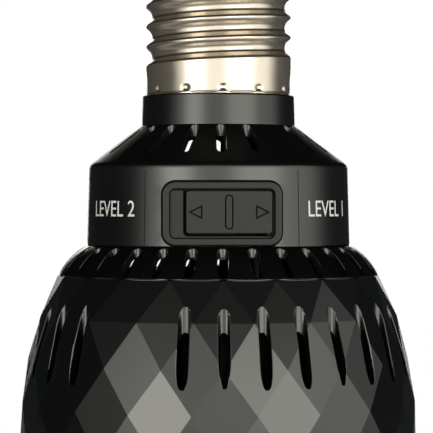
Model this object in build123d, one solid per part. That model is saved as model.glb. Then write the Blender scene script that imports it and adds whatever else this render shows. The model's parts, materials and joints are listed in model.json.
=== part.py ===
from build123d import *
import math
import os

# Sizes are in millimetres. +Z runs up the axis to the screw cap, and the switch faces -Y.
# Azimuths are in degrees from the switch side, positive towards +X.

# Heights of the outside, from the rim that the lamp stands on up to the contact
BEZEL_FLANGE_H = 3.0
RIM_H = 2.5
FACET_ROW_HEIGHTS = (7.1, 7.75, 7.5, 7.85, 7.8)
LEDGE_H = 0.15
SHOULDER_H = 5.15
BAND_H = 14.4
CONE_H = 7.1
COLLAR_H = 5.4
SKIRT_H = 5.2
THREAD_H = 13.7
SHELL_TAPER_H = 2.8
INSULATOR_H = 3.2
CONTACT_H = 1.7

# Screw cap, sized for an E27 lampholder
THREAD_R = 13.1
THREAD_WALL = 1.4
THREAD_PITCH = 3.62
THREAD_DEPTH = 1.1
THREAD_GROOVE_W = 2.6
THREAD_TURNS = 3.4
THREAD_START_AZIMUTH = 207.0
THREAD_START_RISE = 1.0
SKIRT_STEP = 0.17
SKIRT_LEAD_IN = 0.4
SHELL_WALL = 0.45
SHELL_TOP_STEP = 2.9
SHELL_LIP_W = 0.6
SHELL_TOP_WALL = 0.6
CRIMP_COUNT = 12
CRIMP_FIRST_AZIMUTH = 2.0
CRIMP_BALL_R = 1.0
CRIMP_DEPTH = 0.25
CRIMP_RISE = 1.0
INSULATOR_FLANGE_STEP = 0.2
INSULATOR_TIP_R = 5.4
INSULATOR_PLUG_DEPTH = 1.8
CONTACT_R = 4.6
CONTACT_EDGE_H = 0.6
CONTACT_FLAT_R = 3.0
CONTACT_STEM_R = 1.2
CONTACT_STEM_DROP = 0.6

# Upper housing: band, cone and collar in one moulding
BAND_BOTTOM_R = 23.66
BAND_DRAFT = 0.39
BAND_TOP_ROUND = 1.6
BAND_EDGE_ROUND = 0.3
COLLAR_STEP = 0.73
COLLAR_DRAFT = 0.16
COLLAR_EDGE_ROUND = 0.3
UPPER_WALL = 1.8
CONE_ROOF_T = 2.0
STUB_H = 4.6
STUB_GAP = 0.05
SEAT_W = 2.36
SPIGOT_WALL = 1.7
SPIGOT_H = 2.0
BOARD_LEDGE_H = 1.5
CONE_SLOTS_AROUND = 20
CONE_SLOT_BLANKS = (2, 12)
CONE_SLOT_W = 1.75
CONE_SLOT_INSET = 0.18
CONE_SLOT_LENGTH = 6.5

# Faceted housing: slotted shoulder over a lattice of flat diamonds
FACETS_AROUND = 20
SHOULDER_MARGIN = 0.24
SHOULDER_RUN = 5.0
SHOULDER_BULGE = 0.55
CREASE_STEP = 3.25
THIRD_ROW_STEP = 2.07
LEDGE_INSET = 0.18
HOUSING_WALL = 1.4
DOME_DROP = 0.4
NECK_RING_T = 1.0
NECK_RING_W = 1.6
SLOTS_AROUND = 30
SHOULDER_SLOT_W = 1.9
SHOULDER_SLOT_INSET = 0.1
SHOULDER_SLOT_LENGTH = 4.6
LONG_SLOT_W = 2.0
LONG_SLOT_CORNER_R = 0.85
LONG_SLOT_INSET = 1.35
LONG_SLOT_LENGTH = 3.7
BOSS_COUNT = 3
FIRST_BOSS_AZIMUTH = -30.0
BOSS_R = 2.1
BOSS_EDGE_INSET = 3.0
BOSS_RIB_T = 1.4
BOSS_RIB_RISE = 3.0
BLANK_SLOT_PITCHES = 0.75

# Mouth: bezel, lens, gasket and heat sink, stacked from the rim up
LENS_LIP_H = 1.2
LENS_T = 2.2
LENS_CHAMFER = 0.3
GASKET_T = 1.0
SINK_SKIRT_H = 9.6
SINK_SKIRT_T = 1.4
SINK_PLATE_T = 3.0
FIN_COUNT = 24
FIN_T = 1.0
FIN_H = 20.0
FIN_BOSS_GAP = 0.4
CUP_R = 17.5
CUP_WALL = 1.5
CUP_H = 24.0
BEZEL_SPIGOT_H = 5.0
BEZEL_SPIGOT_T = 1.7
BEZEL_LIP_W = 2.4
BEZEL_SETBACK = 0.25
BEZEL_EDGE_ROUND = 0.8
FIT_GAP = 0.2

# Light board
LED_BOARD_T = 1.6
LED_BOARD_GAP = 0.4
DAYLIGHT_COUNT = 18
DAYLIGHT_RING_R = 20.5
DAYLIGHT_SIZE = (3.5, 2.8, 0.8)
UV_COUNT = 6
UV_RING_R = 11.0
UVA_SIZE = (3.5, 3.5, 1.2)
UVB_SIZE = (3.5, 3.5, 1.5)

# Screws through the light board and heat sink into the bosses
BOARD_SCREW_R = 1.2
BOARD_SCREW_HEAD_R = 2.3
BOARD_SCREW_HEAD_H = 1.5
BOARD_SCREW_BITE = 7.0
SCREW_HOLE_GAP = 0.1
SCREW_TIP_GAP = 0.5

# Slide switch
FRAME_W = 20.4
FRAME_H = 10.95
FRAME_CORNER_R = 2.2
FRAME_GAP = 0.26
FRAME_RISE = 0.4
FRAME_SINK = 0.4
FRAME_BORDER = 1.12
FRAME_EDGE_ROUND = 0.25
WINDOW_CORNER_R = 1.1
WINDOW_DEPTH = 1.0
WINDOW_FLOOR_T = 1.4
MOAT_TOP_W = 0.45
MOAT_END_W = 0.6
MOAT_DEPTH = 2.2
RUNNER_GROOVE_W = 0.4
FLANGE_OVERLAP = 1.0
FLANGE_T = 1.2
FLANGE_BOTTOM_GAP = 0.3
FLANGE_SEAT_GAP = 0.05
FRAME_BACK_SIDE = 2.6
FRAME_BACK_EDGE = 1.3
KNOB_TRAVEL = 2.3
KNOB_END_GAP = 0.63
KNOB_SIDE_GAP = 0.72
KNOB_RAISE = 0.25
KNOB_PROUD = 0.3
KNOB_FLOOR_GAP = 0.3
KNOB_CORNER_R = 0.5
KNOB_EDGE_ROUND = 0.12
RIB_W = 0.95
RIB_H = 5.5
RIB_PROUD = 0.3
RIB_GROOVE_W = 0.25
RIB_GROOVE_DEPTH = 0.4
STEM_W = 3.6
STEM_H = 2.8
STEM_GAP = 0.3
STEM_SWITCH_GAP = 0.3
LEVER_W = 1.6
LEVER_SOCKET_DEPTH = 1.4
LEVER_SOCKET_GAP = 0.05
LEVER_BASE_W = 4.0
LEVER_BASE_H = 2.4
LEVER_BASE_T = 1.4
SWITCH_W = 10.5
SWITCH_H = 5.0
SWITCH_T = 4.0
SWITCH_WALL = 0.8
SWITCH_PLAY = 0.2
SWITCH_BOARD_W = 22.0
SWITCH_BOARD_H = 9.4
SWITCH_BOARD_T = 1.2
POST_R = 1.5
POST_EDGE_INSET = 1.9
SWITCH_SCREW_R = 0.85
SWITCH_SCREW_HEAD_R = 1.6
SWITCH_SCREW_HEAD_H = 0.9
SWITCH_SCREW_BITE = 1.6

# Driver board and what stands on it: places are from the axis, or from the board's flat edge or back
DRIVER_BOARD_T = 1.6
DRIVER_BOARD_GAP = 0.3
DRIVER_CHORD_GAP = 0.8
TRANSFORMER_AT = (-8.0, 6.0)
TRANSFORMER_SIZE = (13.0, 6.0, 10.0)
TRANSFORMER_COIL = (8.0, 11.0, 6.0)
TRANSFORMER_FEET_H = 1.0
COIL_ROUND = 1.0
CAPACITOR_AT = (8.5, 8.0)
CAPACITOR_R = 4.0
CAPACITOR_H = 12.0
OUTPUT_CAPACITOR_AT = (12.0, -3.5)
OUTPUT_CAPACITOR_R = 3.15
OUTPUT_CAPACITOR_H = 9.0
CAN_GROOVE_R = 0.4
CAN_GROOVE_RISE = 1.4
CAN_EDGE_ROUND = 0.5
INDUCTOR_X = 0.0
INDUCTOR_FROM_BACK = 5.7
INDUCTOR_R = 3.6
INDUCTOR_H = 7.5
INDUCTOR_WAIST_R = 2.6
INDUCTOR_FLANGE_T = 1.2
FRONT_CHIPS_FROM_CHORD = ((-4.0, 5.7), (4.5, 4.7))
MIDDLE_CHIP_AT = (1.0, 5.5)
CHIP_SIZE = (4.9, 3.9, 1.6)
FUSE_FROM_CHORD = (-12.5, 6.7)
FUSE_R = 1.3
FUSE_LENGTH = 7.0
FUSE_END_R = 1.6
FUSE_END_LENGTH = 1.6

# Leads, all held inside the lamp
BEND_SHARE = 0.45
CAP_LEAD_R = 0.7
LIVE_LEAD_FROM_CHORD = (1.8, 9.7)
NEUTRAL_LEAD_FROM_CHORD = (-2.4, 9.7)
LEAD_BEND_H = 14.0
LEAD_SLANT_H = 12.0
NEUTRAL_END_RISE = 5.0
LED_LEAD_R = 0.6
LED_LEAD_SPREAD = 1.8
LED_LEAD_HOLE_R = 2.4
LED_LEAD_POLAR = (8.0, 100.0)
SWITCH_LEAD_R = 0.5
SWITCH_LEAD_SPREAD = 10.0
SWITCH_LEAD_RISE = 3.2
SWITCH_LEAD_RUN = 3.4
SWITCH_LEAD_BEND_R = 1.5

# Extra reach of a cutting tool past the faces it cuts
CUT_PAST = 2.0

# Heights worked out from the stack
Z_RIM = BEZEL_FLANGE_H
Z_FACET_BOTTOM = Z_RIM + RIM_H
Z_FACET_TOP = Z_FACET_BOTTOM + sum(FACET_ROW_HEIGHTS)
Z_NECK = Z_FACET_TOP + LEDGE_H + SHOULDER_H
Z_CONE = Z_NECK + BAND_H
Z_COLLAR = Z_CONE + CONE_H
Z_CAP = Z_COLLAR + COLLAR_H
Z_THREAD = Z_CAP + SKIRT_H
Z_TAPER = Z_THREAD + THREAD_H
Z_SHELL_TOP = Z_TAPER + SHELL_TAPER_H
Z_CONTACT = Z_SHELL_TOP + INSULATOR_H
Z_TIP = Z_CONTACT + CONTACT_H
Z_GASKET = LENS_LIP_H + LENS_T
Z_SINK = Z_GASKET + GASKET_T
Z_PLATE = Z_SINK + SINK_SKIRT_H
Z_BOSS = Z_PLATE + SINK_PLATE_T
Z_LED_FACE = Z_PLATE - LED_BOARD_T
Z_BOARD_LEDGE = Z_NECK + BOARD_LEDGE_H
Z_DRIVER_TOP = Z_BOARD_LEDGE + DRIVER_BOARD_T

# Radii worked out from the ones above
THREAD_INNER_R = THREAD_R - THREAD_WALL
SHELL_TOP_R = THREAD_R - SHELL_TOP_STEP
SHELL_MOUTH_R = SHELL_TOP_R - SHELL_LIP_W
SKIRT_R = THREAD_R - SKIRT_STEP
SKIRT_INNER_R = SKIRT_R - SHELL_WALL
STUB_R = SKIRT_INNER_R - STUB_GAP
BORE_R = STUB_R - UPPER_WALL
COLLAR_TOP_R = SKIRT_R + COLLAR_STEP
COLLAR_BOTTOM_R = COLLAR_TOP_R + COLLAR_DRAFT
BAND_TOP_R = BAND_BOTTOM_R - BAND_DRAFT
BAND_INNER_R = BAND_TOP_R - UPPER_WALL
DRIVER_BOARD_R = BAND_INNER_R - DRIVER_BOARD_GAP
SPIGOT_R = BAND_BOTTOM_R - SEAT_W
SPIGOT_INNER_R = SPIGOT_R - SPIGOT_WALL
NECK_INNER_R = SPIGOT_R + FIT_GAP
SHOULDER_TOP_R = BAND_BOTTOM_R + SHOULDER_MARGIN
FACET_TOP_R = SHOULDER_TOP_R + SHOULDER_RUN
FACET_CREASE_R = FACET_TOP_R + CREASE_STEP
FACET_THIRD_R = FACET_CREASE_R + THIRD_ROW_STEP
HALF_FACET = 180.0 / FACETS_AROUND
FLAT_SHARE = math.cos(math.radians(HALF_FACET))


def at_azimuth(radius, azimuth, z=0.0):
    turn = math.radians(azimuth)
    return (radius * math.sin(turn), -radius * math.cos(turn), z)


def facet_rows():
    """Height and corner radius of each row of facet corners, from the top row down.

    The first three radii are set. Each later one keeps the diamonds between the rows flat.
    """
    heights = [Z_FACET_TOP]
    for step in FACET_ROW_HEIGHTS:
        heights.append(heights[-1] - step)
    radii = [FACET_TOP_R, FACET_CREASE_R, FACET_THIRD_R]
    for row in range(3, len(heights)):
        middle = radii[row - 1] * FLAT_SHARE
        slope = (middle - radii[row - 2]) / FACET_ROW_HEIGHTS[row - 2]
        radii.append(middle + slope * FACET_ROW_HEIGHTS[row - 1])
    return list(zip(heights, radii))


ROWS = facet_rows()
RIM_R = ROWS[-1][1]
MOUTH_R = RIM_R * FLAT_SHARE - HOUSING_WALL
BEZEL_SPIGOT_R = MOUTH_R - FIT_GAP
LENS_SEAT_R = BEZEL_SPIGOT_R - BEZEL_SPIGOT_T
LENS_R = LENS_SEAT_R - FIT_GAP
SINK_R = LENS_R
SINK_INNER_R = SINK_R - SINK_SKIRT_T
LED_BOARD_R = SINK_INNER_R - LED_BOARD_GAP
BOSS_CIRCLE_R = LED_BOARD_R - BOSS_EDGE_INSET
BOSS_AZIMUTHS = [FIRST_BOSS_AZIMUTH + 360.0 * k / BOSS_COUNT for k in range(BOSS_COUNT)]

# Switch places along Y, from the face of the frame inwards, and its middle height
FRAME_Z = Z_NECK + FRAME_RISE + FRAME_H / 2
FRAME_FACE_Y = -(BAND_BOTTOM_R - BAND_DRAFT * (FRAME_Z - Z_NECK) / BAND_H - FRAME_SINK)
WINDOW_W = FRAME_W - 2 * FRAME_BORDER
WINDOW_H = FRAME_H - 2 * FRAME_BORDER
FLOOR_Y = FRAME_FACE_Y + WINDOW_DEPTH
FLOOR_BACK_Y = FLOOR_Y + WINDOW_FLOOR_T
FLANGE_W = FRAME_W + 2 * (FRAME_GAP + FLANGE_OVERLAP)
FLANGE_Y = -math.sqrt(BAND_INNER_R**2 - (FLANGE_W / 2) ** 2) + FLANGE_SEAT_GAP
FLANGE_BACK_Y = FLANGE_Y + FLANGE_T
FLANGE_TOP_Z = FRAME_Z + FRAME_H / 2 + FRAME_GAP + FLANGE_OVERLAP
FLANGE_BOTTOM_Z = Z_BOARD_LEDGE + FLANGE_BOTTOM_GAP
KNOB_W = WINDOW_W - KNOB_TRAVEL - 2 * KNOB_END_GAP
KNOB_H = WINDOW_H - 2 * KNOB_SIDE_GAP
KNOB_X = KNOB_TRAVEL / 2
KNOB_Z = FRAME_Z + KNOB_RAISE
KNOB_FACE_Y = FRAME_FACE_Y - KNOB_PROUD
KNOB_BACK_Y = FLOOR_Y - KNOB_FLOOR_GAP
SWITCH_Y = FLANGE_Y
STEM_END_Y = SWITCH_Y - STEM_SWITCH_GAP
SWITCH_BOARD_Y = SWITCH_Y + SWITCH_T
SWITCH_BOARD_BACK_Y = SWITCH_BOARD_Y + SWITCH_BOARD_T
POST_X = SWITCH_BOARD_W / 2 - POST_EDGE_INSET
DRIVER_CHORD_Y = SWITCH_BOARD_BACK_Y + SWITCH_SCREW_HEAD_H + DRIVER_CHORD_GAP


def outline(points):
    return make_face(Polyline(*points, close=True))


def turned(profile):
    """Solid of revolution from a profile drawn as (radius, height)."""
    return revolve(Plane.XZ * profile, Axis.Z)


def rounded_at(profile, corners):
    """Profile with the given corners rounded, each a (point, radius) pair."""
    for point, radius in corners:
        corner = profile.vertices().sort_by_distance(Vector(*point, 0))[0]
        profile = fillet(corner, radius)
    return profile


def ring(inner, outer, z_low, z_high):
    return turned(outline([(inner, z_low), (outer, z_low), (outer, z_high), (inner, z_high)]))


def disc(radius, z_low, z_high, at=(0.0, 0.0)):
    return Pos(*at, (z_low + z_high) / 2) * Cylinder(radius, z_high - z_low)


def block(size, centre):
    return Pos(*centre) * Box(*size)


def front_plate(sketch, y_front, y_back, x=0.0, z=FRAME_Z):
    """Sketch drawn in X and Z, pushed from one Y to another."""
    plane = Plane(origin=(x, y_back, z), x_dir=(1, 0, 0), z_dir=(0, -1, 0))
    return extrude(plane * sketch, amount=y_back - y_front)


def radial_slot(plan, inner_r, z_low, z_high):
    """Slot on the switch side, cut straight along the axis from a plan that is as long as it reaches."""
    length = plan.bounding_box().size.Y
    return extrude(Pos(0, -(inner_r + length / 2), z_low) * plan, amount=z_high - z_low)


def spread(tool, azimuths):
    return [Rot(0, 0, azimuth) * tool for azimuth in azimuths]


def polygon_face(points):
    return Face(Wire.make_polygon(points, close=True))


def facet_corner(row, k):
    z, radius = ROWS[row]
    azimuth = (k + 0.5 * (row % 2)) * 2 * HALF_FACET
    return at_azimuth(radius, azimuth, z)


def facet_sides(row, k):
    """The two corners of the next row that lie either side of a corner."""
    first = k - 1 if row % 2 == 0 else k
    return facet_corner(row + 1, first), facet_corner(row + 1, first + 1)


def faceted_core():
    """Closed body of diamonds, creased at the second row and flat below it."""
    last = len(ROWS) - 1
    corners = range(FACETS_AROUND)
    faces = [polygon_face([facet_corner(0, k) for k in corners])]
    faces.append(polygon_face([facet_corner(last, k) for k in corners]))
    for k in corners:
        top_edge = (facet_corner(0, k), facet_corner(0, k + 1))
        faces.append(polygon_face([*top_edge, facet_corner(1, k)]))
        left, right = facet_sides(0, k)
        faces.append(polygon_face([facet_corner(0, k), left, right]))
        faces.append(polygon_face([left, right, facet_corner(2, k)]))
        for row in range(1, last - 1):
            left, right = facet_sides(row, k)
            faces.append(polygon_face([facet_corner(row, k), left, facet_corner(row + 2, k), right]))
        left, right = facet_sides(last - 1, k)
        faces.append(polygon_face([facet_corner(last - 1, k), left, right]))
    return Solid(Shell(faces))


def shoulder_dome():
    ledge_r = FACET_TOP_R - LEDGE_INSET
    z_ledge = Z_FACET_TOP + LEDGE_H
    base = Polyline((0, Z_NECK), (0, Z_FACET_TOP), (ledge_r, Z_FACET_TOP), (ledge_r, z_ledge))
    crown = SagittaArc((ledge_r, z_ledge), (SHOULDER_TOP_R, Z_NECK), -SHOULDER_BULGE)
    top = Line((SHOULDER_TOP_R, Z_NECK), (0, Z_NECK))
    return turned(make_face([base, crown, top]))


def housing_cavity():
    """Hollow of the faceted housing, a wall's thickness inside the facets and the shoulder."""
    below = Z_RIM - CUT_PAST
    above = Z_NECK + CUT_PAST
    points = [(0, above), (0, below), (MOUTH_R, below), (MOUTH_R, Z_FACET_BOTTOM)]
    for z, radius in reversed(ROWS[1:-1]):
        points.append((radius * FLAT_SHARE - HOUSING_WALL, z))
    dome_start = (FACET_TOP_R * FLAT_SHARE - HOUSING_WALL, Z_FACET_TOP - DOME_DROP)
    dome_end = (NECK_INNER_R + NECK_RING_W, Z_NECK - NECK_RING_T)
    points.append(dome_start)
    wall = Polyline(*points)
    dome = SagittaArc(dome_start, dome_end, -(SHOULDER_BULGE - LEDGE_INSET))
    neck = Polyline(dome_end, (NECK_INNER_R, Z_NECK - NECK_RING_T), (NECK_INNER_R, above), (0, above))
    return turned(make_face([wall, dome, neck]))


def near_boss(azimuth):
    pitch = 360.0 / SLOTS_AROUND
    for boss in BOSS_AZIMUTHS:
        apart = abs((azimuth - boss + 180.0) % 360.0 - 180.0)
        if apart < BLANK_SLOT_PITCHES * pitch:
            return True
    return False


def housing_boss():
    """Screw boss with its rib to the wall, still on the switch side and not yet trimmed."""
    height = Z_NECK - Z_BOSS
    post = Pos(0, -BOSS_CIRCLE_R, Z_BOSS + height / 2) * Cylinder(BOSS_R, height)
    rib_z = Z_BOSS + BOSS_RIB_RISE
    rib_y = (BOSS_CIRCLE_R + RIM_R) / 2
    rib = block((BOSS_RIB_T, RIM_R - BOSS_CIRCLE_R, Z_NECK - rib_z), (0, -rib_y, (Z_NECK + rib_z) / 2))
    return post + rib


def faceted_housing():
    rim = disc(RIM_R, Z_RIM, Z_FACET_BOTTOM)
    outside = faceted_core() + rim + shoulder_dome()
    cavity = housing_cavity()
    bosses = [boss & cavity & outside for boss in spread(housing_boss(), BOSS_AZIMUTHS)]
    slot_azimuths = [360.0 * k / SLOTS_AROUND for k in range(SLOTS_AROUND)]
    shoulder_slot = radial_slot(
        SlotOverall(SHOULDER_SLOT_LENGTH, SHOULDER_SLOT_W, rotation=90),
        SHOULDER_TOP_R + SHOULDER_SLOT_INSET,
        Z_FACET_TOP + LEDGE_H,
        Z_NECK + CUT_PAST,
    )
    long_slot = radial_slot(
        RectangleRounded(LONG_SLOT_W, LONG_SLOT_LENGTH, LONG_SLOT_CORNER_R),
        FACET_CREASE_R - LONG_SLOT_INSET,
        ROWS[3][0],
        ROWS[1][0] + FACET_ROW_HEIGHTS[0],
    )
    pilot_r = BOARD_SCREW_R + SCREW_HOLE_GAP / 2
    pilot_depth = BOARD_SCREW_BITE + SCREW_TIP_GAP
    pilot = disc(pilot_r, Z_BOSS - CUT_PAST, Z_BOSS + pilot_depth, (0, -BOSS_CIRCLE_R))
    cuts = spread(shoulder_slot, slot_azimuths)
    cuts += spread(long_slot, [azimuth for azimuth in slot_azimuths if not near_boss(azimuth)])
    shell = outside - cavity
    for boss in bosses:
        shell = shell + boss
    return shell - cuts - spread(pilot, BOSS_AZIMUTHS)


def cone_roof_z(radius):
    """Height of the inside of the cone at a radius."""
    slope = (BAND_TOP_R - COLLAR_BOTTOM_R) / CONE_H
    return Z_CONE + (BAND_TOP_R - radius) / slope - CONE_ROOF_T


def switch_opening():
    plan = RectangleRounded(
        FRAME_W + 2 * FRAME_GAP, FRAME_H + 2 * FRAME_GAP, FRAME_CORNER_R + FRAME_GAP
    )
    return front_plate(plan, -BAND_BOTTOM_R - CUT_PAST, FLANGE_BACK_Y)


def upper_housing():
    stub_top = Z_CAP + STUB_H
    points = [
        (SPIGOT_INNER_R, Z_NECK - SPIGOT_H),
        (SPIGOT_R, Z_NECK - SPIGOT_H),
        (SPIGOT_R, Z_NECK),
        (BAND_BOTTOM_R, Z_NECK),
        (BAND_TOP_R, Z_CONE),
        (COLLAR_BOTTOM_R, Z_COLLAR),
        (COLLAR_TOP_R, Z_CAP),
        (STUB_R, Z_CAP),
        (STUB_R, stub_top),
        (BORE_R, stub_top),
        (BORE_R, cone_roof_z(BORE_R)),
        (BAND_INNER_R, cone_roof_z(BAND_INNER_R)),
        (BAND_INNER_R, Z_BOARD_LEDGE),
        (SPIGOT_INNER_R, Z_BOARD_LEDGE),
    ]
    rounds = [
        ((BAND_BOTTOM_R, Z_NECK), BAND_EDGE_ROUND),
        ((BAND_TOP_R, Z_CONE), BAND_TOP_ROUND),
        ((COLLAR_TOP_R, Z_CAP), COLLAR_EDGE_ROUND),
    ]
    body = turned(rounded_at(outline(points), rounds))
    slot = radial_slot(
        SlotOverall(CONE_SLOT_LENGTH, CONE_SLOT_W, rotation=90),
        COLLAR_BOTTOM_R + CONE_SLOT_INSET,
        Z_CONE - CUT_PAST,
        Z_COLLAR + CUT_PAST,
    )
    open_slots = [k for k in range(CONE_SLOTS_AROUND) if k not in CONE_SLOT_BLANKS]
    slots = spread(slot, [360.0 * k / CONE_SLOTS_AROUND for k in open_slots])
    return body - slots - switch_opening()


def switch_frame():
    """Window frame, its flange inside the band and two posts for the switch board.

    A moat in the window's floor runs along its top and its right end.
    A groove runs under the knob's lower edge.
    """
    face = RectangleRounded(FRAME_W, FRAME_H, FRAME_CORNER_R)
    body = front_plate(face, FRAME_FACE_Y, FLANGE_BACK_Y)
    front_edges = body.faces().sort_by(Axis.Y)[0].edges()
    body = fillet(front_edges, FRAME_EDGE_ROUND)
    flange_size = (FLANGE_W, FLANGE_T, FLANGE_TOP_Z - FLANGE_BOTTOM_Z)
    flange = block(flange_size, (0, FLANGE_Y + FLANGE_T / 2, (FLANGE_TOP_Z + FLANGE_BOTTOM_Z) / 2))
    pane = RectangleRounded(WINDOW_W, WINDOW_H, WINDOW_CORNER_R)
    window = front_plate(pane, FRAME_FACE_Y - CUT_PAST, FLOOR_Y)
    moat_plan = pane - Pos(-MOAT_END_W, -MOAT_TOP_W) * Rectangle(WINDOW_W, WINDOW_H)
    moat = front_plate(moat_plan, FRAME_FACE_Y, FLOOR_Y + MOAT_DEPTH)
    groove_z = KNOB_Z - KNOB_H / 2 - RUNNER_GROOVE_W / 4
    groove = front_plate(Rectangle(KNOB_W, RUNNER_GROOVE_W), FRAME_FACE_Y, FLOOR_BACK_Y, KNOB_X, groove_z)
    stem_slot = Rectangle(STEM_W + KNOB_TRAVEL + 2 * STEM_GAP, STEM_H + 2 * STEM_GAP)
    stem_way = front_plate(stem_slot, FRAME_FACE_Y, FLOOR_BACK_Y)
    back_room = Rectangle(FRAME_W - 2 * FRAME_BACK_SIDE, FRAME_H - 2 * FRAME_BACK_EDGE)
    back = front_plate(back_room, FLOOR_BACK_Y, FLANGE_BACK_Y)
    frame = body + flange - window - moat - groove - stem_way - back
    post = front_plate(Circle(POST_R), FLANGE_BACK_Y, SWITCH_BOARD_Y)
    pilot_y = SWITCH_BOARD_Y - SWITCH_SCREW_BITE - SCREW_TIP_GAP
    pilot = front_plate(Circle(SWITCH_SCREW_R + SCREW_HOLE_GAP / 2), pilot_y, SWITCH_BOARD_Y)
    for side in (-POST_X, POST_X):
        frame = frame + Pos(side, 0, 0) * post - Pos(side, 0, 0) * pilot
    return frame


def switch_knob():
    face = RectangleRounded(KNOB_W, KNOB_H, KNOB_CORNER_R)
    plate = front_plate(face, KNOB_FACE_Y, KNOB_BACK_Y, KNOB_X, KNOB_Z)
    plate = fillet(plate.faces().sort_by(Axis.Y)[0].edges(), KNOB_EDGE_ROUND)
    groove_plan = SlotOverall(RIB_H + 2 * RIB_GROOVE_W, RIB_W + 2 * RIB_GROOVE_W, rotation=90)
    groove = front_plate(groove_plan, KNOB_FACE_Y, KNOB_FACE_Y + RIB_GROOVE_DEPTH, KNOB_X, KNOB_Z)
    rib_plan = SlotOverall(RIB_H, RIB_W, rotation=90)
    rib = front_plate(rib_plan, KNOB_FACE_Y - RIB_PROUD, KNOB_BACK_Y, KNOB_X, KNOB_Z)
    stem = front_plate(Rectangle(STEM_W, STEM_H), KNOB_BACK_Y, STEM_END_Y, KNOB_X)
    socket_w = LEVER_W + 2 * LEVER_SOCKET_GAP
    socket_y = STEM_END_Y - LEVER_SOCKET_DEPTH
    socket = front_plate(Rectangle(socket_w, socket_w), socket_y, STEM_END_Y, KNOB_X)
    return plate - groove + rib + stem - socket


def switch_lever():
    base_y = SWITCH_Y + SWITCH_WALL + SWITCH_PLAY
    tip_y = STEM_END_Y - LEVER_SOCKET_DEPTH + LEVER_SOCKET_GAP
    post = front_plate(Rectangle(LEVER_W, LEVER_W), tip_y, base_y, KNOB_X)
    base = front_plate(Rectangle(LEVER_BASE_W, LEVER_BASE_H), base_y, base_y + LEVER_BASE_T, KNOB_X)
    return post + base


def switch_body():
    can = front_plate(Rectangle(SWITCH_W, SWITCH_H), SWITCH_Y, SWITCH_BOARD_Y)
    room_y = SWITCH_Y + SWITCH_WALL
    room_back = room_y + LEVER_BASE_T + 2 * SWITCH_PLAY
    room_w = LEVER_BASE_W + KNOB_TRAVEL + 2 * SWITCH_PLAY
    room = front_plate(Rectangle(room_w, LEVER_BASE_H + 2 * SWITCH_PLAY), room_y, room_back)
    way_w = LEVER_W + KNOB_TRAVEL + 2 * SWITCH_PLAY
    way = front_plate(Rectangle(way_w, LEVER_W + 2 * SWITCH_PLAY), SWITCH_Y - CUT_PAST, room_back)
    return can - room - way


def switch_board():
    board = front_plate(Rectangle(SWITCH_BOARD_W, SWITCH_BOARD_H), SWITCH_BOARD_Y, SWITCH_BOARD_BACK_Y)
    hole = front_plate(Circle(SWITCH_SCREW_R + SCREW_HOLE_GAP), SWITCH_BOARD_Y, SWITCH_BOARD_BACK_Y)
    return board - [Pos(side, 0, 0) * hole for side in (-POST_X, POST_X)]


def switch_screws():
    head_y = SWITCH_BOARD_BACK_Y + SWITCH_SCREW_HEAD_H
    head = front_plate(Circle(SWITCH_SCREW_HEAD_R), SWITCH_BOARD_BACK_Y, head_y)
    shank = front_plate(Circle(SWITCH_SCREW_R), SWITCH_BOARD_Y - SWITCH_SCREW_BITE, SWITCH_BOARD_BACK_Y)
    screw = head + shank
    return Compound([Pos(side, 0, 0) * screw for side in (-POST_X, POST_X)])


def thread_groove():
    """Rolled groove of the screw cap, which winds up to the right and has round ends."""
    tube_r = (THREAD_GROOVE_W**2 / 4 + THREAD_DEPTH**2) / (2 * THREAD_DEPTH)
    path = Helix(THREAD_PITCH, THREAD_TURNS * THREAD_PITCH, THREAD_R - THREAD_DEPTH + tube_r)
    tube = sweep(Plane(path @ 0, z_dir=path % 0) * Circle(tube_r), path, is_frenet=True)
    pieces = [tube] + [Pos(path @ end) * Sphere(tube_r) for end in (0, 1)]
    place = Pos(0, 0, Z_THREAD + THREAD_START_RISE) * Rot(0, 0, THREAD_START_AZIMUTH - 90)
    return [place * piece for piece in pieces]


def screw_shell():
    points = [
        (SKIRT_R, Z_CAP),
        (SKIRT_R, Z_THREAD - SKIRT_LEAD_IN),
        (THREAD_R, Z_THREAD),
        (THREAD_R, Z_TAPER),
        (SHELL_TOP_R, Z_SHELL_TOP),
        (SHELL_MOUTH_R, Z_SHELL_TOP),
        (SHELL_MOUTH_R, Z_SHELL_TOP - SHELL_TOP_WALL),
        (THREAD_INNER_R, Z_TAPER),
        (THREAD_INNER_R, Z_THREAD),
        (SKIRT_INNER_R, Z_THREAD - SKIRT_LEAD_IN),
        (SKIRT_INNER_R, Z_CAP),
    ]
    shell = turned(outline(points))
    punch_y = -(SKIRT_R - CRIMP_DEPTH + CRIMP_BALL_R)
    crimp = Pos(0, punch_y, Z_CAP + CRIMP_RISE) * Sphere(CRIMP_BALL_R)
    crimp_azimuths = [CRIMP_FIRST_AZIMUTH + 360.0 * k / CRIMP_COUNT for k in range(CRIMP_COUNT)]
    return shell - thread_groove() - spread(crimp, crimp_azimuths)


def cap_insulator():
    hole_r = CONTACT_STEM_R + SCREW_HOLE_GAP
    plug_r = SHELL_MOUTH_R - FIT_GAP
    plug_z = Z_SHELL_TOP - INSULATOR_PLUG_DEPTH
    points = [
        (hole_r, plug_z),
        (plug_r, plug_z),
        (plug_r, Z_SHELL_TOP),
        (SHELL_TOP_R - INSULATOR_FLANGE_STEP, Z_SHELL_TOP),
        (INSULATOR_TIP_R, Z_CONTACT),
        (hole_r, Z_CONTACT),
    ]
    return turned(outline(points))


def centre_contact():
    stem_z = Z_SHELL_TOP - INSULATOR_PLUG_DEPTH - CONTACT_STEM_DROP
    points = [
        (0, stem_z),
        (CONTACT_STEM_R, stem_z),
        (CONTACT_STEM_R, Z_CONTACT),
        (CONTACT_R, Z_CONTACT),
        (CONTACT_R, Z_CONTACT + CONTACT_EDGE_H),
        (CONTACT_FLAT_R, Z_TIP),
        (0, Z_TIP),
    ]
    return turned(outline(points))


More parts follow.
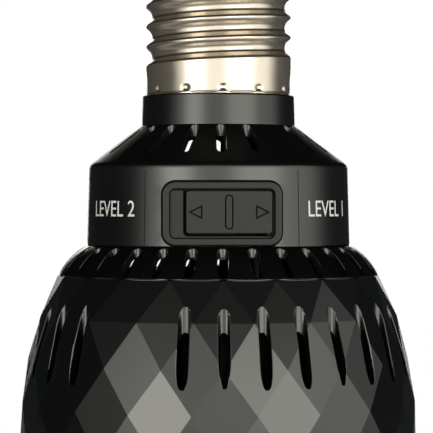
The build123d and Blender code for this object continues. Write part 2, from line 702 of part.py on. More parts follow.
def front_bezel():
    lip_r = LENS_SEAT_R - BEZEL_LIP_W
    outer_r = RIM_R - BEZEL_SETBACK
    top = Z_RIM + BEZEL_SPIGOT_H
    points = [
        (lip_r, 0),
        (outer_r, 0),
        (outer_r, Z_RIM),
        (BEZEL_SPIGOT_R, Z_RIM),
        (BEZEL_SPIGOT_R, top),
        (LENS_SEAT_R, top),
        (LENS_SEAT_R, LENS_LIP_H),
        (lip_r, LENS_LIP_H),
    ]
    return turned(rounded_at(outline(points), [((outer_r, 0), BEZEL_EDGE_ROUND)]))


def front_lens():
    lens = disc(LENS_R, LENS_LIP_H, Z_GASKET)
    return chamfer(lens.edges(), LENS_CHAMFER)


def heat_sink():
    """Dish with a skirt onto the gasket, a thick plate, and a finned cup on its back."""
    dish = ring(SINK_INNER_R, SINK_R, Z_SINK, Z_PLATE) + disc(SINK_R, Z_PLATE, Z_BOSS)
    dish = dish + ring(CUP_R - CUP_WALL, CUP_R, Z_BOSS, Z_BOSS + CUP_H)
    fin_outer_r = BOSS_CIRCLE_R - BOSS_R - FIN_BOSS_GAP
    fin_inner_r = CUP_R - CUP_WALL / 2
    fin_y = -(fin_inner_r + fin_outer_r) / 2
    fin = block((FIN_T, fin_outer_r - fin_inner_r, FIN_H), (0, fin_y, Z_BOSS + FIN_H / 2))
    for one in spread(fin, [360.0 * k / FIN_COUNT for k in range(FIN_COUNT)]):
        dish = dish + one
    return dish - lead_hole() - screw_holes()


def lead_hole():
    x, y, _ = at_azimuth(*LED_LEAD_POLAR)
    return disc(LED_LEAD_HOLE_R, Z_PLATE - CUT_PAST, Z_BOSS + CUT_PAST, (x, y))


def screw_holes():
    hole_r = BOARD_SCREW_R + SCREW_HOLE_GAP
    hole = disc(hole_r, Z_LED_FACE - CUT_PAST, Z_BOSS + CUT_PAST, (0, -BOSS_CIRCLE_R))
    return spread(hole, BOSS_AZIMUTHS)


def led_board():
    return disc(LED_BOARD_R, Z_LED_FACE, Z_PLATE) - screw_holes()


def board_screws():
    head = disc(BOARD_SCREW_HEAD_R, Z_LED_FACE - BOARD_SCREW_HEAD_H, Z_LED_FACE, (0, -BOSS_CIRCLE_R))
    shank = disc(BOARD_SCREW_R, Z_LED_FACE, Z_BOSS + BOARD_SCREW_BITE, (0, -BOSS_CIRCLE_R))
    return Compound(spread(head + shank, BOSS_AZIMUTHS))


def led_ring(count, radius, size, first_azimuth=0.0):
    package = block(size, (0, -radius, Z_LED_FACE - size[2] / 2))
    return Compound(spread(package, [first_azimuth + 360.0 * k / count for k in range(count)]))


def driver_board():
    board = disc(DRIVER_BOARD_R, Z_BOARD_LEDGE, Z_DRIVER_TOP)
    board_z = Z_BOARD_LEDGE + DRIVER_BOARD_T / 2
    side = 2 * BAND_INNER_R
    return board - block((side, side, DRIVER_BOARD_T), (0, DRIVER_CHORD_Y - BAND_INNER_R, board_z))


def from_chord(x, distance):
    """Place on the driver board at a distance from its flat edge."""
    return (x, DRIVER_CHORD_Y + distance)


def on_board(at, height):
    """Centre of a piece of the given height that stands on the driver board."""
    return (*at, Z_DRIVER_TOP + height / 2)


def driver_transformer():
    """Ferrite core around a wound coil, on the coil former's feet."""
    core_h = TRANSFORMER_SIZE[2]
    x, y, z = on_board(TRANSFORMER_AT, core_h)
    core = block(TRANSFORMER_SIZE, (x, y, z))
    coil_z = Z_DRIVER_TOP + TRANSFORMER_FEET_H + TRANSFORMER_COIL[2] / 2
    coil = block(TRANSFORMER_COIL, (x, y, coil_z))
    coil = fillet(coil.edges().filter_by(Axis.Z), COIL_ROUND)
    return core + coil


def capacitor_can(at, radius, height):
    """Electrolytic can with its rolled groove and rounded top."""
    section = outline([(0, 0), (radius, 0), (radius, height), (0, height)])
    can = turned(rounded_at(section, [((radius, height), CAN_EDGE_ROUND)]))
    groove = Pos(0, 0, CAN_GROOVE_RISE) * Torus(radius, CAN_GROOVE_R)
    return Pos(*at, Z_DRIVER_TOP) * (can - groove)


def driver_inductor():
    points = [
        (0, 0),
        (INDUCTOR_R, 0),
        (INDUCTOR_R, INDUCTOR_FLANGE_T),
        (INDUCTOR_WAIST_R, INDUCTOR_FLANGE_T),
        (INDUCTOR_WAIST_R, INDUCTOR_H - INDUCTOR_FLANGE_T),
        (INDUCTOR_R, INDUCTOR_H - INDUCTOR_FLANGE_T),
        (INDUCTOR_R, INDUCTOR_H),
        (0, INDUCTOR_H),
    ]
    y = DRIVER_BOARD_R - INDUCTOR_FROM_BACK
    return Pos(INDUCTOR_X, y, Z_DRIVER_TOP) * turned(outline(points))


def driver_chips():
    places = [from_chord(*place) for place in FRONT_CHIPS_FROM_CHORD]
    places.append(MIDDLE_CHIP_AT)
    return Compound([block(CHIP_SIZE, on_board(at, CHIP_SIZE[2])) for at in places])


def fuse_resistor():
    half = FUSE_LENGTH / 2
    inner = half - FUSE_END_LENGTH
    points = [(0, -half), (FUSE_END_R, -half), (FUSE_END_R, -inner), (FUSE_R, -inner)]
    points += [(FUSE_R, inner), (FUSE_END_R, inner), (FUSE_END_R, half), (0, half)]
    lying = Rot(90, 0, 0) * turned(outline(points))
    return Pos(*from_chord(*FUSE_FROM_CHORD), Z_DRIVER_TOP + FUSE_END_R) * lying


def lead(points, bend_radii, radius):
    """Round lead along straight runs joined by arcs."""
    path = FilletPolyline(*points, radius=bend_radii)
    start = Plane(origin=path @ 0, z_dir=path % 0)
    return sweep(start * Circle(radius), path=path)


def bend_radius(before, corner, after):
    """Largest arc that the two runs at a corner leave room for."""
    first = Vector(*corner) - Vector(*before)
    second = Vector(*after) - Vector(*corner)
    half_turn = math.radians(first.get_angle(second)) / 2
    return BEND_SHARE * min(first.length, second.length) / math.tan(half_turn)


def bent_lead(points, radius):
    corners = range(1, len(points) - 1)
    radii = [bend_radius(points[k - 1], points[k], points[k + 1]) for k in corners]
    return lead(points, radii, radius)


def live_lead():
    x, y = from_chord(*LIVE_LEAD_FROM_CHORD)
    bend_z = Z_DRIVER_TOP + LEAD_BEND_H
    end_z = Z_SHELL_TOP - INSULATOR_PLUG_DEPTH - CONTACT_STEM_DROP
    points = [(x, y, Z_DRIVER_TOP), (x, y, bend_z), (0, 0, bend_z + LEAD_SLANT_H), (0, 0, end_z)]
    return bent_lead(points, CAP_LEAD_R)


def neutral_lead():
    x, y = from_chord(*NEUTRAL_LEAD_FROM_CHORD)
    bend_z = Z_DRIVER_TOP + LEAD_BEND_H
    turn_x = -THREAD_INNER_R / 2
    end_z = Z_THREAD + NEUTRAL_END_RISE
    points = [(x, y, Z_DRIVER_TOP), (x, y, bend_z), (turn_x, 0, end_z), (-THREAD_INNER_R, 0, end_z)]
    return bent_lead(points, CAP_LEAD_R)


def led_leads():
    x, y, _ = at_azimuth(*LED_LEAD_POLAR)
    half = LED_LEAD_SPREAD / 2
    return Compound([disc(LED_LEAD_R, Z_PLATE, Z_BOARD_LEDGE, (x + side, y)) for side in (-half, half)])


def switch_leads():
    z = Z_DRIVER_TOP + SWITCH_LEAD_RISE
    y_end = SWITCH_BOARD_BACK_Y + SWITCH_LEAD_RUN
    leads = []
    for x in (-SWITCH_LEAD_SPREAD / 2, SWITCH_LEAD_SPREAD / 2):
        points = [(x, SWITCH_BOARD_BACK_Y, z), (x, y_end, z), (x, y_end, Z_DRIVER_TOP)]
        leads.append(lead(points, [SWITCH_LEAD_BEND_R], SWITCH_LEAD_R))
    return Compound(leads)


def main():
    nodes = {
        "front_bezel": front_bezel(),
        "front_lens": front_lens(),
        "lens_gasket": ring(SINK_INNER_R, SINK_R, Z_GASKET, Z_SINK),
        "led_board": led_board(),
        "daylight_leds": led_ring(DAYLIGHT_COUNT, DAYLIGHT_RING_R, DAYLIGHT_SIZE),
        "uva_leds": led_ring(UV_COUNT, UV_RING_R, UVA_SIZE),
        "uvb_leds": led_ring(UV_COUNT, UV_RING_R, UVB_SIZE, 180.0 / UV_COUNT),
        "board_screws": board_screws(),
        "heat_sink": heat_sink(),
        "faceted_housing": faceted_housing(),
        "upper_housing": upper_housing(),
        "switch_frame": switch_frame(),
        "switch_knob": switch_knob(),
        "switch_lever": switch_lever(),
        "switch_body": switch_body(),
        "switch_board": switch_board(),
        "switch_screws": switch_screws(),
        "switch_leads": switch_leads(),
        "driver_board": driver_board(),
        "driver_transformer": driver_transformer(),
        "driver_capacitor": capacitor_can(CAPACITOR_AT, CAPACITOR_R, CAPACITOR_H),
        "output_capacitor": capacitor_can(OUTPUT_CAPACITOR_AT, OUTPUT_CAPACITOR_R, OUTPUT_CAPACITOR_H),
        "driver_inductor": driver_inductor(),
        "driver_chips": driver_chips(),
        "fuse_resistor": fuse_resistor(),
        "led_leads": led_leads(),
        "live_lead": live_lead(),
        "neutral_lead": neutral_lead(),
        "screw_shell": screw_shell(),
        "cap_insulator": cap_insulator(),
        "centre_contact": centre_contact(),
    }
    os.makedirs("parts", exist_ok=True)
    for name, shape in nodes.items():
        export_step(shape, os.path.join("parts", name + ".step"))


main()
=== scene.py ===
import json
import math
from contextlib import contextmanager

import bmesh
import bpy
from mathutils import Matrix, Vector


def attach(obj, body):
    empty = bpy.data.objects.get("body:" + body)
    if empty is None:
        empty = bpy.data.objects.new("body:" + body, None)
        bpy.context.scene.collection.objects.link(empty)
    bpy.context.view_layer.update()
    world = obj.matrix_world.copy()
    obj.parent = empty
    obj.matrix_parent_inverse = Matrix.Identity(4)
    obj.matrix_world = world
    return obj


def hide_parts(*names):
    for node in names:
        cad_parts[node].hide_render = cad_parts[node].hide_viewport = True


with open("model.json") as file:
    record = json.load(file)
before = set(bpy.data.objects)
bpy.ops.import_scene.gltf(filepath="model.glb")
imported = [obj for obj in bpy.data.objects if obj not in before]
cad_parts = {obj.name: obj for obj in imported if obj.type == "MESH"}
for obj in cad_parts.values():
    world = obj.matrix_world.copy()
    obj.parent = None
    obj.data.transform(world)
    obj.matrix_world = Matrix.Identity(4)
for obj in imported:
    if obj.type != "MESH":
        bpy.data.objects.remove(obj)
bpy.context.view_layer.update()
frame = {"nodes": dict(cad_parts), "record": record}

# Lengths are in millimetres unless a comment says otherwise, and the scene itself is in metres.
# Azimuths are in degrees from the switch side, positive towards +X. Scales of noise are per metre.
MM = 0.001
LAMP = "lamp"
SLIDER = "switch_slider"
WHITE = (1.0, 1.0, 1.0, 1.0)

# Places of the sockets that a Mix node uses for colours
MIX_FACTOR = 0
MIX_FIRST = 6
MIX_SECOND = 7
MIX_RESULT = 2

# Camera at the photograph's view
CAMERA_LENS = 186.2
CAMERA_DISTANCE = 404.0
CAMERA_CLIP = 40.4
CAMERA_HEIGHT = 56.85
CAMERA_AZIMUTH = -1.75
AIM_HEIGHT = 54.02
AIM_SIDE = -0.32

# Soft boxes as azimuth, elevation, distance, width, height and brightness
SOFTBOXES = {
    "left_strip": (-38.0, 5.0, 700.0, 320.0, 330.0, 4.4),
    "right_strip": (33.0, 7.0, 700.0, 540.0, 360.0, 2.9),
    "back_box": (180.0, 8.0, 800.0, 400.0, 400.0, 3.0),
}
SOFTBOX_COLOUR = (1.0, 0.99, 0.89)
SOFTBOX_AIM_HEIGHT = 40.0

# Glow of the studio: a low band in front of the lamp, a white wall straight behind it, and shade elsewhere
# The edges are spans of a unit direction's part along the middle of the glow, upwards or to the back
FILL = 1.8
FILL_COLOUR = (1.0, 0.99, 0.92, 1.0)
FILL_AZIMUTH = 13.0
FILL_EDGE = (-0.08, 0.45)
FILL_TOP = (0.25, 0.66)
FILL_TOP_SHARE = 0.03
WALL_EDGE = (0.965, 0.995)
SHADE_COLOUR = (0.02, 0.023, 0.026, 1.0)

# Floor, pale near the lamp and white to the camera further out
FLOOR_RADIUS = 4000.0
FLOOR_SEGMENTS = 96
FLOOR_SHADOW_RADIUS = 90.0
FLOOR_WHITE_RADIUS = 150.0
FLOOR_COLOUR = (0.9, 0.9, 0.9, 1.0)
FLOOR_ROUGH = 0.9
FLOOR_LIFT = 0.55

# Grain and patches of gloss on mouldings, where a detail is a noise's octaves and their strength
GRAIN_DETAIL = (3.0, 0.6)
PATCH_SCALE = 90.0
PATCH_DETAIL = (5.0, 0.6)
MOTTLE = 0.3
NOISE_SPAN = (0.3, 0.7)

# Rubbed marks, as turns and stretches of their noise, and the patches in which they show
MARK_SCALE = 700.0
MARK_DETAIL = (1.0, 0.5)
MARK_DIRECTIONS = (
    ((0.3, 0.5, 0.9), (1.0, 0.06, 1.0)),
    ((1.1, 0.2, -0.6), (0.05, 1.0, 1.0)),
)
MARK_EDGE = (0.66, 0.72)
MARK_PATCH_SCALE = 120.0
MARK_PATCH_DETAIL = (2.0, 0.5)
MARK_PATCH_EDGE = (0.5, 0.7)
MARK_WEAR = 0.25

# Turned rings and tarnish on metal
RING_STRETCH = (0.04, 0.04, 1.0)
RING_DETAIL = (2.0, 0.5)
TARNISH_SCALE = 260.0
TARNISH_DETAIL = (4.0, 0.6)
TARNISH_EDGE = (0.4, 0.8)
TARNISH_MOST = 0.5

# Matt slopes of the housings, by height and by how far they face upwards, and the duller collar
MATT_FROM_Z = 43.55
MATT_FACING = (0.25, 0.45)
COLLAR_Z = (70.2, 70.5)
COLLAR_DULLING = 0.25

# Shine of the housings, the switch, deep black and the plate, and the clear lens
POLISH_IOR = 1.58
POLISHED_SPECULAR = 0.03
SWITCH_SPECULAR = 0.35
DEEP_MATT_SPECULAR = 0.1
NICKEL_METALLIC = 0.88
LENS_COLOUR = (0.96, 0.98, 0.98, 1.0)
LENS_ROUGH = 0.03
LENS_IOR = 1.49

# Brown tarnish and painted shade on the plate, by how far it faces upwards: it comes in over one span and
# thins over the other
STAIN_AND_SHADE = 0.8
STAIN_AND_SHADE_LEFT = 0.35
STAIN_AND_SHADE_FROM = (0.12, 0.36)
STAIN_AND_SHADE_TO = (0.5, 0.66)
STAIN_AND_SHADE_COLOUR = (0.085, 0.055, 0.018, 1.0)

# Plain mouldings as colour, how much paler they are where worn, and roughness
PLAIN_MOULDINGS = {
    "bezel_black": ((0.012, 0.012, 0.013), 1.4, (0.25, 0.32)),
    "gasket_rubber": ((0.03, 0.03, 0.03), 1.4, (0.45, 0.6)),
    "board_white": ((0.8, 0.81, 0.79), 1.05, (0.3, 0.4)),
    "board_green": ((0.008, 0.05, 0.02), 1.5, (0.35, 0.45)),
    "led_daylight": ((0.78, 0.76, 0.68), 1.1, (0.3, 0.4)),
    "led_uva": ((0.5, 0.5, 0.5), 1.1, (0.3, 0.4)),
    "led_uvb": ((0.55, 0.5, 0.4), 1.1, (0.25, 0.35)),
    "cap_black": ((0.012, 0.012, 0.012), 1.4, (0.15, 0.22)),
    "ferrite": ((0.05, 0.05, 0.05), 1.4, (0.45, 0.6)),
    "can_sleeve": ((0.02, 0.03, 0.07), 1.4, (0.25, 0.35)),
    "chip_black": ((0.02, 0.02, 0.02), 1.4, (0.45, 0.6)),
    "resistor_tan": ((0.45, 0.32, 0.2), 1.4, (0.45, 0.6)),
    "lead_brown": ((0.03, 0.012, 0.007), 1.4, (0.45, 0.6)),
    "lead_black": ((0.02, 0.02, 0.02), 1.4, (0.45, 0.6)),
}
PHOSPHOR = ((0.8, 0.52, 0.06), 1.1, (0.35, 0.45))
UVA_RESIN = ((0.2, 0.16, 0.42), 1.2, (0.05, 0.1))
UVB_QUARTZ = ((0.16, 0.17, 0.22), 1.2, (0.05, 0.1))
WORN_LIMIT = 0.9
PLAIN_GRAIN_SCALE = 4000.0
PLAIN_GRAIN_DEPTH = 0.006

# Bare metals as colour, tarnish, roughness and scale of their rings
BARE_METALS = {
    "screw_steel": ((0.62, 0.62, 0.62), (0.4, 0.4, 0.4), (0.3, 0.4), 3000.0),
    "contact_brass": ((0.66, 0.6, 0.46), (0.45, 0.38, 0.24), (0.25, 0.35), 3000.0),
    "switch_can": ((0.58, 0.58, 0.58), (0.4, 0.4, 0.4), (0.35, 0.45), 2500.0),
}
BARE_RING_DEPTH = 0.004

# Thread of the screw shell
THREAD_PITCH = 3.62
THREAD_DEPTH = 1.1
THREAD_CREST_R = 13.1
THREAD_START_AZIMUTH = 135.0
THREAD_START_Z = 79.4
THREAD_FADE_TURNS = 0.4
THREAD_TURNS = 3.75
THREAD_CREST_POWER = 1.35

# Skirt, tapered top and inside of the screw shell
SKIRT_R = 12.93
SKIRT_Z = 75.7
SKIRT_FLARE = (78.0, 80.9)
SKIRT_TO_CREST = (80.5, 80.9)
SHELL_TAPER_Z = 94.6
SHELL_TOP_Z = 97.4
SHELL_TOP_R = 10.2
SHELL_MOUTH_R = 9.6
SHELL_INNER_R = 11.7
SHELL_SKIRT_INNER_R = 12.48
SHELL_AROUND = 240
SHELL_STEP = 0.2
SKIRT_FINE_Z = 77.7
SKIRT_FINE_STEP = 0.08

# Punched dents of the skirt, and its hem line
CRIMP_COUNT = 12
CRIMP_FIRST_AZIMUTH = 2.0
CRIMP_Z = 76.75
CRIMP_R = 0.58
CRIMP_DEPTH = 0.4
CRIMP_POWER = 4
HEM_RISE = 0.32
HEM_LIFT = 0.5
HEM_LIFT_W = 0.9
HEM_W = 0.14
HEM_DEPTH = 0.12

# Eased edges of the slots, and the angles in degrees that count as flat, as an edge and as a crease
FLAT_ANGLE = 0.5
EASE_W = 0.14
EASE_STEPS = 2
EASE_ANGLE = 45.0
HOUSING_SHARP_ANGLE = 5.5
CREASE_ANGLE = 1.0
FACET_ZONE = (5.6, 43.3)
WELD_GAP = 0.001

# Faces of the light packages as count, ring radius, first azimuth, height, radius and bulge
PHOSPHOR_DOTS = (18, 20.5, 0.0, 11.6, 1.15, 0.14)
UVA_DOMES = (6, 11.0, 0.0, 11.2, 1.35, 0.75)
UVB_WINDOWS = (6, 11.0, 30.0, 10.9, 1.25, 0.25)
DOT_STEPS = (24, 12)

# Cross recesses of the screws in the light board
SCREW_AZIMUTHS = (-30.0, 90.0, 210.0)
SCREW_HEAD_R = 2.3
CROSS_LENGTH = 2.6
CROSS_W = 0.55
CROSS_DEPTH = 0.7

# Switch band, which narrows upwards
BAND_R = 23.66
BAND_Z = 48.8
BAND_HEIGHT = 14.4
BAND_NARROWING = 0.39

# Printed words either side of the switch, with the extrusion and the weld in the text's own units
PRINT_WORDS = {"print_high": ("LEVEL 2", -1), "print_low": ("LEVEL 1", 1)}
PRINT_CAP_HEIGHT = 2.75
PRINT_Z = 55.5
PRINT_AZIMUTH = 54.0
PRINT_PROUD = 0.03
PRINT_THICK = 0.03
PRINT_SQUEEZE = 0.91
PRINT_EXTRUDE = 0.5
PRINT_WELD = 0.0001

# Fine ridges that the mould leaves on the band, with a section in shares of their width and height
MOULD_LINE_AZIMUTH = 34.25
MOULD_LINE_Z = (48.9, 62.2)
MOULD_LINE_W = 0.18
MOULD_LINE_PROUD = 0.04
MOULD_LINE_SECTION = ((-0.5, -1.0), (0.5, -1.0), (0.25, 1.0), (-0.25, 1.0))

# Fine lines of the knob: its arrows, and the line in the groove round its rib
ARROW_LENGTH = 2.45
ARROW_HEIGHT = 2.45
ARROW_LINE = 0.27
ARROW_DEPTH = 0.3
ARROW_EDGE_GAP = 0.3
RIB_SIZE = (0.95, 5.5)
RIB_PROUD = 0.3
RIB_GROOVE_W = 0.25
RIB_GROOVE_DEPTH = 0.4
RIB_LINE = 0.19
RIB_LINE_DEPTH = 0.3

# Fine lines of the frame: the shadow line round the knob, and the line along the edge of the window's floor
SHADOW_REACH = 0.52
SHADOW_LINE = 0.7
SHADOW_DEPTH = 1.1
SHADOW_CORNER_R = 0.8
WINDOW_Z = 54.675
WINDOW_SIZE = (18.16, 8.71)
WINDOW_CORNER_R = 1.1
WINDOW_DEPTH = 1.0
WINDOW_LINE = 0.2
WINDOW_LINE_DEPTH = 0.35

# Cutters of fine lines: lead before the face, half the width of their tip, and margin to a wall
GROOVE_LEAD = 0.08
GROOVE_TIP = 0.01
GROOVE_MARGIN = 0.03
CORNER_STEPS = 8
ENGRAVED_SHARP_ANGLE = 30.0


# Shared helpers
def at_azimuth(radius, azimuth, z=0.0):
    """Point in metres from a radius and height in millimetres."""
    turn = math.radians(azimuth)
    return Vector((radius * math.sin(turn), -radius * math.cos(turn), z)) * MM


def smooth_step(low, high, value):
    """Share that eases from 0 to 1 between two values."""
    share = min(1.0, max(0.0, (value - low) / (high - low)))
    return share * share * (3.0 - 2.0 * share)


def link_object(name, data):
    piece = bpy.data.objects.new(name, data)
    bpy.context.scene.collection.objects.link(piece)
    return piece


def mesh_from(name, verts, faces, smooth=True):
    mesh = bpy.data.meshes.new(name)
    mesh.from_pydata(verts, [], faces)
    mesh.polygons.foreach_set("use_smooth", [smooth] * len(mesh.polygons))
    mesh.update()
    return mesh


@contextmanager
def mesh_edit(mesh):
    """Opens a mesh for work on its points and faces, and writes them back."""
    maker = bmesh.new()
    maker.from_mesh(mesh)
    yield maker
    maker.to_mesh(mesh)
    maker.free()


def face_outwards(mesh):
    with mesh_edit(mesh) as maker:
        bmesh.ops.recalc_face_normals(maker, faces=maker.faces)


def settled_mesh(piece):
    """Mesh of an object as its modifiers or its text leave it."""
    bpy.context.view_layer.update()
    return bpy.data.meshes.new_from_object(piece.evaluated_get(bpy.context.evaluated_depsgraph_get()))


def ring_faces(rows, count):
    """Faces of closed rings of points, joined row to row and the last row to the first."""
    faces = []
    for row in range(rows):
        here = row * count
        beyond = (row + 1) % rows * count
        for k in range(count):
            after = (k + 1) % count
            faces.append((here + k, here + after, beyond + after, beyond + k))
    return faces


def node_box(node_name):
    """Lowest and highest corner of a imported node, in millimetres."""
    node = frame["nodes"][node_name]
    corners = [node.matrix_world @ v.co / MM for v in node.data.vertices]
    low = Vector([min(c[axis] for c in corners) for axis in range(3)])
    high = Vector([max(c[axis] for c in corners) for axis in range(3)])
    return low, high


# Shader nodes
def add_node(tree, kind, **settings):
    node = tree.nodes.new("ShaderNode" + kind)
    for key, value in settings.items():
        setattr(node, key, value)
    return node


def feed(tree, target, source):
    """Joins an output to an input, or sets the input's own value."""
    if isinstance(source, bpy.types.NodeSocket):
        tree.links.new(source, target)
    else:
        target.default_value = source


def math_node(tree, operation, first, second):
    node = add_node(tree, "Math", operation=operation)
    feed(tree, node.inputs[0], first)
    feed(tree, node.inputs[1], second)
    return node.outputs[0]


def remap(tree, value, low, high, to_low, to_high):
    """Eases a value from one span into another."""
    node = add_node(tree, "MapRange", interpolation_type="SMOOTHSTEP")
    for socket, source in zip(node.inputs, (value, low, high, to_low, to_high)):
        feed(tree, socket, source)
    return node.outputs[0]


def mix_colour(tree, factor, first, second):
    node = add_node(tree, "Mix", data_type="RGBA", clamp_factor=False)
    feed(tree, node.inputs[MIX_FACTOR], factor)
    feed(tree, node.inputs[MIX_FIRST], first)
    feed(tree, node.inputs[MIX_SECOND], second)
    return node.outputs[MIX_RESULT]


def mix_shaders(tree, factor, first, second):
    node = add_node(tree, "MixShader")
    feed(tree, node.inputs[0], factor)
    feed(tree, node.inputs[1], first.outputs[0])
    feed(tree, node.inputs[2], second.outputs[0])
    return node


def noise(tree, vector, scale, detail):
    node = add_node(tree, "TexNoise")
    octaves, strength = detail
    feed(tree, node.inputs["Vector"], vector)
    feed(tree, node.inputs["Scale"], scale)
    feed(tree, node.inputs["Detail"], octaves)
    feed(tree, node.inputs["Roughness"], strength)
    return node.outputs[0]


def stretched(tree, vector, rotation, scale):
    node = add_node(tree, "Mapping")
    feed(tree, node.inputs["Vector"], vector)
    feed(tree, node.inputs["Rotation"], rotation)
    feed(tree, node.inputs["Scale"], scale)
    return node.outputs[0]


def bump(tree, height, distance):
    node = add_node(tree, "Bump")
    feed(tree, node.inputs["Height"], height)
    feed(tree, node.inputs["Distance"], distance * MM)
    return node.outputs["Normal"]


def object_place(tree):
    return add_node(tree, "TexCoord").outputs["Object"]


def split_vector(tree, vector):
    node = add_node(tree, "SeparateXYZ")
    feed(tree, node.inputs[0], vector)
    return node.outputs


def upward_facing(tree):
    """How far the surface faces upwards, from -1 to 1."""
    return split_vector(tree, add_node(tree, "NewGeometry").outputs["Normal"])["Z"]


def shown_rays(tree):
    """Mask of the rays that show the background: the camera's own, and those that go through the lens."""
    path = add_node(tree, "LightPath")
    return math_node(tree, "MAXIMUM", path.outputs["Is Camera Ray"], path.outputs["Is Transmission Ray"])


# Effects that several finishes share
def new_group(name, inputs, outputs):
    """Shader node group with number inputs and outputs."""
    tree = bpy.data.node_groups.new(name, "ShaderNodeTree")
    for way, labels in (("INPUT", inputs), ("OUTPUT", outputs)):
        for label in labels:
            tree.interface.new_socket(label, in_out=way, socket_type="NodeSocketFloat")
    return tree, tree.nodes.new("NodeGroupInput"), tree.nodes.new("NodeGroupOutput")


def place_group(tree, group, **values):
    """Puts a group into a material, with a value for each input that its label names."""
    node = tree.nodes.new("ShaderNodeGroup")
    node.node_tree = group
    for label, value in values.items():
        feed(tree, node.inputs[label.replace("_", " ")], value)
    return node


def moulding_grain():
    """Fine tool texture of a moulding, and slow patches in its gloss."""
    tree, given, out = new_group("moulding_grain", ("Grain scale", "Patch scale"), ("Height", "Patch"))
    place = object_place(tree)
    feed(tree, out.inputs["Height"], noise(tree, place, given.outputs["Grain scale"], GRAIN_DETAIL))
    feed(tree, out.inputs["Patch"], noise(tree, place, given.outputs["Patch scale"], PATCH_DETAIL))
    return tree


def rubbed_marks():
    """Sparse hairline marks from handling, in two directions."""
    tree, given, out = new_group("rubbed_marks", ("Mark scale",), ("Mask",))
    place = object_place(tree)
    masks = []
    for rotation, scale in MARK_DIRECTIONS:
        lines = noise(tree, stretched(tree, place, rotation, scale), given.outputs["Mark scale"], MARK_DETAIL)
        masks.append(remap(tree, lines, *MARK_EDGE, 0.0, 1.0))
    patches = noise(tree, place, MARK_PATCH_SCALE, MARK_PATCH_DETAIL)
    where = remap(tree, patches, *MARK_PATCH_EDGE, 0.0, 1.0)
    both = math_node(tree, "MAXIMUM", *masks)
    feed(tree, out.inputs["Mask"], math_node(tree, "MULTIPLY", both, where))
    return tree


def turned_marks():
    """Fine rings round the axis, as rolling and turning leave on metal, and slow tarnish."""
    tree, given, out = new_group("turned_marks", ("Ring scale",), ("Height", "Tone"))
    place = object_place(tree)
    rings = stretched(tree, place, (0.0, 0.0, 0.0), RING_STRETCH)
    feed(tree, out.inputs["Height"], noise(tree, rings, given.outputs["Ring scale"], RING_DETAIL))
    feed(tree, out.inputs["Tone"], noise(tree, place, TARNISH_SCALE, TARNISH_DETAIL))
    return tree


def matt_slopes():
    """Mask of the cone and the shoulder, which are moulded matt, and weaker on the collar."""
    tree, given, out = new_group("matt_slopes", ("From height",), ("Mask",))
    height = split_vector(tree, object_place(tree))["Z"]
    high = math_node(tree, "GREATER_THAN", height, given.outputs["From height"])
    upward = remap(tree, upward_facing(tree), *MATT_FACING, 0.0, 1.0)
    slopes = math_node(tree, "MULTIPLY", high, upward)
    collar = remap(tree, height, COLLAR_Z[0] * MM, COLLAR_Z[1] * MM, 0.0, COLLAR_DULLING)
    feed(tree, out.inputs["Mask"], math_node(tree, "MAXIMUM", slopes, collar))
    return tree


GRAIN = moulding_grain()
MATT = matt_slopes()
MARKS = rubbed_marks()
RINGS = turned_marks()


# Finishes
def new_material(name):
    material = bpy.data.materials.new(name)
    material.use_nodes = True
    tree = material.node_tree
    return material, tree, tree.nodes["Principled BSDF"]


def moulded(name, colour, worn, rough, grain_scale, grain_depth):
    """Moulded plastic or rubber: grained, patchy in gloss, with faint rubbed marks."""
    material, tree, shader = new_material(name)
    grain = place_group(tree, GRAIN, Grain_scale=grain_scale, Patch_scale=PATCH_SCALE)
    mask = place_group(tree, MARKS, Mark_scale=MARK_SCALE).outputs["Mask"]
    patch = grain.outputs["Patch"]
    mottled = math_node(tree, "MULTIPLY", patch, MOTTLE)
    wear = math_node(tree, "MAXIMUM", math_node(tree, "MULTIPLY", mask, MARK_WEAR), mottled)
    feed(tree, shader.inputs["Base Color"], mix_colour(tree, wear, (*colour, 1.0), (*worn, 1.0)))
    feed(tree, shader.inputs["Roughness"], remap(tree, patch, *NOISE_SPAN, *rough))
    feed(tree, shader.inputs["Normal"], bump(tree, grain.outputs["Height"], grain_depth))
    return material, shader


def polished_below(material, shader, gloss_rough):
    """Polished skin of a housing, which stops at its matt cone or shoulder."""
    tree = material.node_tree
    mask = place_group(tree, MATT, From_height=MATT_FROM_Z * MM).outputs["Mask"]
    feed(tree, shader.inputs["Coat Weight"], remap(tree, mask, 0.0, 1.0, 1.0, 0.0))
    shader.inputs["Coat Roughness"].default_value = gloss_rough
    shader.inputs["Coat IOR"].default_value = POLISH_IOR
    shader.inputs["Specular IOR Level"].default_value = POLISHED_SPECULAR


def housing_satin():
    material, shader = moulded(
        "satin_black", colour=(0.002, 0.002, 0.0022), worn=(0.007, 0.007, 0.007), rough=(0.27, 0.32),
        grain_scale=6500.0, grain_depth=0.006)
    polished_below(material, shader, gloss_rough=0.295)
    return material


def housing_gloss():
    material, shader = moulded(
        "gloss_black", colour=(0.0015, 0.0015, 0.0016), worn=(0.006, 0.006, 0.006), rough=(0.18, 0.23),
        grain_scale=2500.0, grain_depth=0.002)
    polished_below(material, shader, gloss_rough=0.205)
    return material


def switch_black():
    material, shader = moulded(
        "switch_black", colour=(0.003, 0.003, 0.003), worn=(0.008, 0.008, 0.008), rough=(0.42, 0.48),
        grain_scale=7500.0, grain_depth=0.012)
    shader.inputs["Specular IOR Level"].default_value = SWITCH_SPECULAR
    return material


def deep_matt(name):
    """Black that gives hardly any light back, as on anodised metal or along a fine line."""
    material, shader = moulded(
        name, colour=(0.003, 0.003, 0.0033), worn=(0.005, 0.005, 0.005), rough=(0.6, 0.7),
        grain_scale=PLAIN_GRAIN_SCALE, grain_depth=PLAIN_GRAIN_DEPTH)
    shader.inputs["Specular IOR Level"].default_value = DEEP_MATT_SPECULAR
    return material


